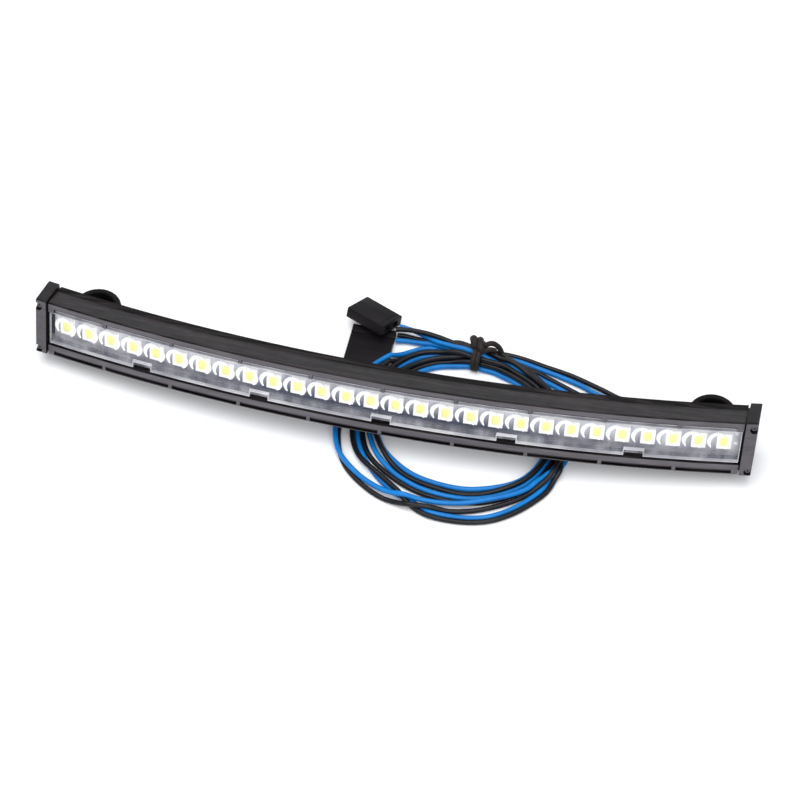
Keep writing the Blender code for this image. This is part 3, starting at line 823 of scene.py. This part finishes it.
def make_cap_spigots(mat):
    """The spigots of the end caps, which fill the slits at the ends of the body."""
    profile = [(1.5, -5.7), (1.5, 5.5), (-5.2, 4.4), (-6.3, 4.0), (-6.3, -5.5)]
    sections = (70.68, 70.78, 70.92)
    for side, sign in (("left", -1), ("right", 1)):
        name = f"cap_spigot_{side}"
        bm = bmesh.new()
        loft(bm, [[bar_world(sign * x, d, z) for d, z in profile] for x in sections])
        add_piece(name, finish_bmesh(name, bm), mat, 30)


def make_pads(mat):
    """Solder beads at the ends of the board."""
    profile = [(0.42, 0.0), (0.40, 0.08), (0.30, 0.2), (0.14, 0.28)]
    board_face, sides = -1.08, 14
    bm = bmesh.new()
    for x, z in ((69.45, 1.35), (69.45, -1.1), (-69.5, 1.3)):
        centre = bar_world(x, board_face, z)
        rings = []
        for radius, height in profile:
            ring = []
            for k in range(sides):
                angle = 2 * math.pi * k / sides
                point = Vector((radius * math.cos(angle), -height, radius * math.sin(angle)))
                ring.append(centre + BAR.to_3x3() @ point * MM)
            rings.append(ring)
        loft(bm, rings)
    return add_piece("solder_beads", finish_bmesh("solder_beads", bm), mat, 60)


def refined_copy(node, name, mat, width):
    """A copy of a CAD node with rounded edges and smooth faces, in its place."""
    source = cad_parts[node]
    mesh = source.data.copy()
    bm = bmesh.new()
    bm.from_mesh(mesh)
    bmesh.ops.remove_doubles(bm, verts=bm.verts, dist=1e-6)
    bmesh.ops.dissolve_limit(bm, angle_limit=math.radians(0.4), verts=bm.verts, edges=bm.edges)
    bm.to_mesh(mesh)
    bm.free()
    obj = add_piece(name, mesh, mat, 30)
    mod = obj.modifiers.new("rounded_edges", 'BEVEL')
    mod.width = width
    mod.segments = 2
    mod.limit_method = 'ANGLE'
    mod.angle_limit = math.radians(40)
    mod.harden_normals = True
    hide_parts(node)
    return obj


# ------------------------------------------------------------ plugs and tie

def box_into(bm, centre, size, chamfer=0.0):
    """Add a chamfered box to a bmesh, in millimetres."""
    matrix = Matrix.Translation(Vector(centre) * MM) @ Matrix.Diagonal((*(Vector(size) * MM), 1))
    made = bmesh.ops.create_cube(bm, size=1, matrix=matrix)
    if chamfer:
        edges = list({e for v in made["verts"] for e in v.link_edges})
        bmesh.ops.bevel(bm, geom=edges, offset=chamfer * MM, segments=2, affect='EDGES', profile=0.7)


def carve(obj, windows):
    """Cut boxes out of a piece, and apply the cut."""
    bm = bmesh.new()
    for centre, size in windows:
        box_into(bm, centre, size)
    tool_name = obj.name + "_tools"
    tool = bpy.data.objects.new(tool_name, finish_bmesh(tool_name, bm))
    tool.matrix_world = obj.matrix_world.copy()
    bpy.context.collection.objects.link(tool)
    mod = obj.modifiers.new("carved", 'BOOLEAN')
    mod.object = tool
    mod.solver = 'EXACT'
    bpy.context.view_layer.update()
    graph = bpy.context.evaluated_depsgraph_get()
    result = bpy.data.meshes.new_from_object(obj.evaluated_get(graph))
    obj.modifiers.clear()
    obj.data = result
    bpy.data.objects.remove(tool)


def make_plug(name, node, place, centre, size, chamfer, windows, mat):
    """A plug's body in its place, with windows cut into it."""
    bm = bmesh.new()
    box_into(bm, centre, size, chamfer)
    plug = add_piece(name, finish_bmesh(name, bm), mat, 35)
    plug.parent = None
    plug.matrix_world = place
    carve(plug, windows)
    smooth_shade(plug.data, 35)
    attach(plug, "root")
    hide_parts(node)
    return plug


def make_upper_plug(mat):
    """The plug that leans on the other one, with windows in both its ends."""
    place = Matrix.Translation(Vector((-8.18, 19.29, 3.1)) * MM)
    for axis, angle in (('Z', -26.3), ('Y', -4), ('X', -20)):
        place = place @ Matrix.Rotation(math.radians(angle), 4, axis)
    length, width, height = 9.3, 6.6, 2.3
    windows = []
    for y in (-1.6, 1.6):
        windows.append(((-length / 2, y, 0), (3.2, 1.5, 1.1)))
        windows.append(((length / 2, y * 0.8, 0), (1.6, 1.3, 1.2)))
    groove = ((3.4, 0, 1.2), (0.25, 5.4, 0.22))
    windows.append(groove)
    return make_plug("plug_upper", "connector_upper", place, (0, 0, 0), (length, width, height), 0.28,
                     windows, mat)


def make_lower_plug(mat):
    """The flat plug on the floor, with a raised collar at its wire end."""
    low, high = (Vector(p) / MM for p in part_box("connector_lower"))
    middle = (low + high) / 2
    width, length = high.x - low.x, high.y - low.y
    collar_length = 2.0
    windows = [((x, -5.3, -0.05), (1.5, 3.0, 0.9)) for x in (-2.6, 0, 2.6)]
    plug = make_plug("plug_lower", "connector_lower", Matrix.Translation(middle * MM),
                     (0, -collar_length / 2, -0.08), (width, length - collar_length, 1.54), 0.2,
                     windows, mat)
    bm = bmesh.new()
    box_into(bm, (middle.x, high.y - collar_length / 2, middle.z), (width, collar_length, 1.7), 0.18)
    mesh = finish_bmesh("plug_lower_collar", bm)
    collar = add_piece("plug_lower_collar", mesh, mat, 35)
    return plug, collar


def tube(name, points, radius, mat, cyclic=False):
    """A round strip along smooth points, in millimetres."""
    data = bpy.data.curves.new(name, 'CURVE')
    data.dimensions = '3D'
    data.bevel_depth = radius * MM
    data.bevel_resolution = 4
    data.use_fill_caps = True
    spline = data.splines.new('BEZIER')
    spline.bezier_points.add(len(points) - 1)
    spline.use_cyclic_u = cyclic
    for target, point in zip(spline.bezier_points, points):
        target.co = Vector(point) * MM
        target.handle_left_type = target.handle_right_type = 'AUTO'
    data.resolution_u = 8
    obj = bpy.data.objects.new(name, data)
    bpy.context.collection.objects.link(obj)
    graph = bpy.context.evaluated_depsgraph_get()
    mesh = bpy.data.meshes.new_from_object(obj.evaluated_get(graph))
    bpy.data.objects.remove(obj)
    return add_piece(name, mesh, mat, 60)


def make_tie(mat):
    """A twist tie: two loops round the bundle, a knot on top, and two bent ends."""
    band = [
        (12.0, 0.9), (11.95, 1.8), (12.8, 3.1), (14.6, 3.7), (16.5, 3.5),
        (17.7, 2.4), (17.9, 1.2), (16.5, 0.6), (13.5, 0.6),
    ]
    pieces = []
    for name, x in (("tie_band", 13.95), ("tie_band_second", 14.8)):
        points = [(x + 0.06 * (y - 12), y, z) for y, z in band]
        pieces.append(tube(name, points, 0.52, mat, cyclic=True))
    knot = []
    for i in range(KNOT_POINTS):
        share = i / (KNOT_POINTS - 1)
        turn = 2 * math.pi * KNOT_TURNS * share
        sway = 0.3 * math.sin(turn / 2)
        knot.append((KNOT_START + KNOT_LENGTH * share,
                     15.9 + 0.95 * math.cos(turn) + sway, 4.2 + 0.6 * math.sin(turn)))
    pieces.append(tube("tie_knot", knot, 0.78, mat))
    arch = [
        (14.6, 15.9, 3.9), (15.8, 15.6, 4.5), (17.0, 16.1, 4.8),
        (18.1, 16.4, 4.1), (18.9, 16.3, 3.0), (19.3, 16.0, 2.2),
    ]
    pieces.append(tube("tie_end", arch, 0.55, mat))
    under = [(14.6, 14.9, 3.9), (15.9, 14.7, 3.9), (17.0, 15.0, 4.1), (18.0, 15.5, 3.4)]
    pieces.append(tube("tie_end_second", under, 0.55, mat))
    for piece in pieces:
        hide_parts("twist_tie")
    return pieces


# -------------------------------------------------------------------- studio

def area_light(name, place, size, power):
    """A soft box aimed at the bar."""
    data = bpy.data.lights.new(name, 'AREA')
    data.shape = 'SQUARE'
    data.size = size
    data.energy = power
    light = bpy.data.objects.new(name, data)
    bpy.context.collection.objects.link(light)
    light.location = place
    light.rotation_euler = (-Vector(place)).to_track_quat('-Z', 'Y').to_euler()


def make_studio():
    """A pale floor and soft studio light."""
    bm = bmesh.new()
    bmesh.ops.create_grid(bm, x_segments=2, y_segments=2, size=1.6)
    mesh = finish_bmesh("floor", bm)
    mesh.materials.append(floor_material())
    floor = bpy.data.objects.new("floor", mesh)
    bpy.context.collection.objects.link(floor)
    world = bpy.data.worlds.new("studio")
    bpy.context.scene.world = world
    world.use_nodes = True
    background = world.node_tree.nodes["Background"]
    background.inputs["Color"].default_value = (0.93, 0.95, 1.0, 1)
    background.inputs["Strength"].default_value = 0.65
    area_light("key", (-0.1, -0.05, 1.0), 0.9, 8)
    area_light("fill", (0.3, -0.7, 0.7), 0.8, 4)
    bpy.context.scene.view_settings.view_transform = 'Standard'


def dress(nodes, mat):
    """Give CAD nodes their finished material."""
    for node in nodes:
        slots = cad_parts[node].material_slots
        if slots:
            for item in slots:
                item.material = mat
        else:
            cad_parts[node].data.materials.append(mat)


def make_leads():
    """The plugs, the tie, and the wires that they belong to."""
    wire_materials = {
        "wire_blue": wire_insulation("wire_blue_pvc", (0.002, 0.135, 0.43), (0.005, 0.195, 0.56)),
        "wire_black": wire_insulation("wire_black_pvc", (0.003, 0.003, 0.0045), (0.011, 0.011, 0.014)),
    }
    plug_plastic = moulded_plastic("plug_plastic", (0.007, 0.006, 0.007), (0.013, 0.011, 0.012), 0.34, 2400)
    upper = make_upper_plug(plug_plastic)
    lower, collar = make_lower_plug(plug_plastic)
    tie = make_tie(moulded_plastic("tie_strip", (0.016, 0.013, 0.013), (0.035, 0.029, 0.028), 0.42, 2800))
    make_wires(wire_materials)


def dress_bar():
    """The materials of the CAD nodes that stay as they are, and the rear cover's shell."""
    # The housing's front colour is a painted reflection of the pale floor on its front faces.
    housing = moulded_plastic("housing_nylon", (0.0012, 0.0009, 0.001), (0.027, 0.0215, 0.0225),
                              0.38, 2600, streak=0.85, front=(0.115, 0.107, 0.117))
    cover = moulded_plastic("cover_nylon", (0.0055, 0.0047, 0.005), (0.012, 0.0105, 0.011), 0.42, 2400)
    # The caps' front colour is a painted reflection of the pale floor on their front faces.
    caps = moulded_plastic("cap_nylon", (0.007, 0.006, 0.0065), (0.018, 0.0155, 0.0166),
                           0.38, 2600, front=(0.098, 0.092, 0.099))
    resistor = moulded_plastic("resistor_black", (0.02, 0.02, 0.02), (0.035, 0.035, 0.035), 0.3, 3000)
    rubber = moulded_plastic("gland_rubber", (0.010, 0.010, 0.010), (0.018, 0.018, 0.018), 0.68, 2000)
    screws = [f"cap_screw_{side}_{level}" for side in ("left", "right") for level in ("upper", "lower")]
    dress(["housing"], housing)
    dress(["end_cap_left", "end_cap_right"], caps)
    dress(screws, metal_screw())
    dress(["lens"], clear_lens())
    dress(["circuit_board"], board_material())
    dress([f"led_{i + 1:02d}" for i in range(LED_COUNT)], white_package())
    dress([f"resistor_{i + 1}" for i in range(RESISTOR_COUNT)], resistor)
    dress(["lead_gland"], rubber)
    refined_copy("rear_cover", "rear_cover_shell", cover, 0.12 * MM)
    return cover


def main():
    """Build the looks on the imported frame."""
    make_camera()
    make_leads()
    cover = dress_bar()
    make_gel(gel_material())
    make_cup_highlights(cup_highlight_material())
    make_pads(solder_material())
    make_lens_frost(frost_material())
    make_cap_spigots(cover)
    make_edge_highlight(edge_highlight_material())
    make_studio()


main()
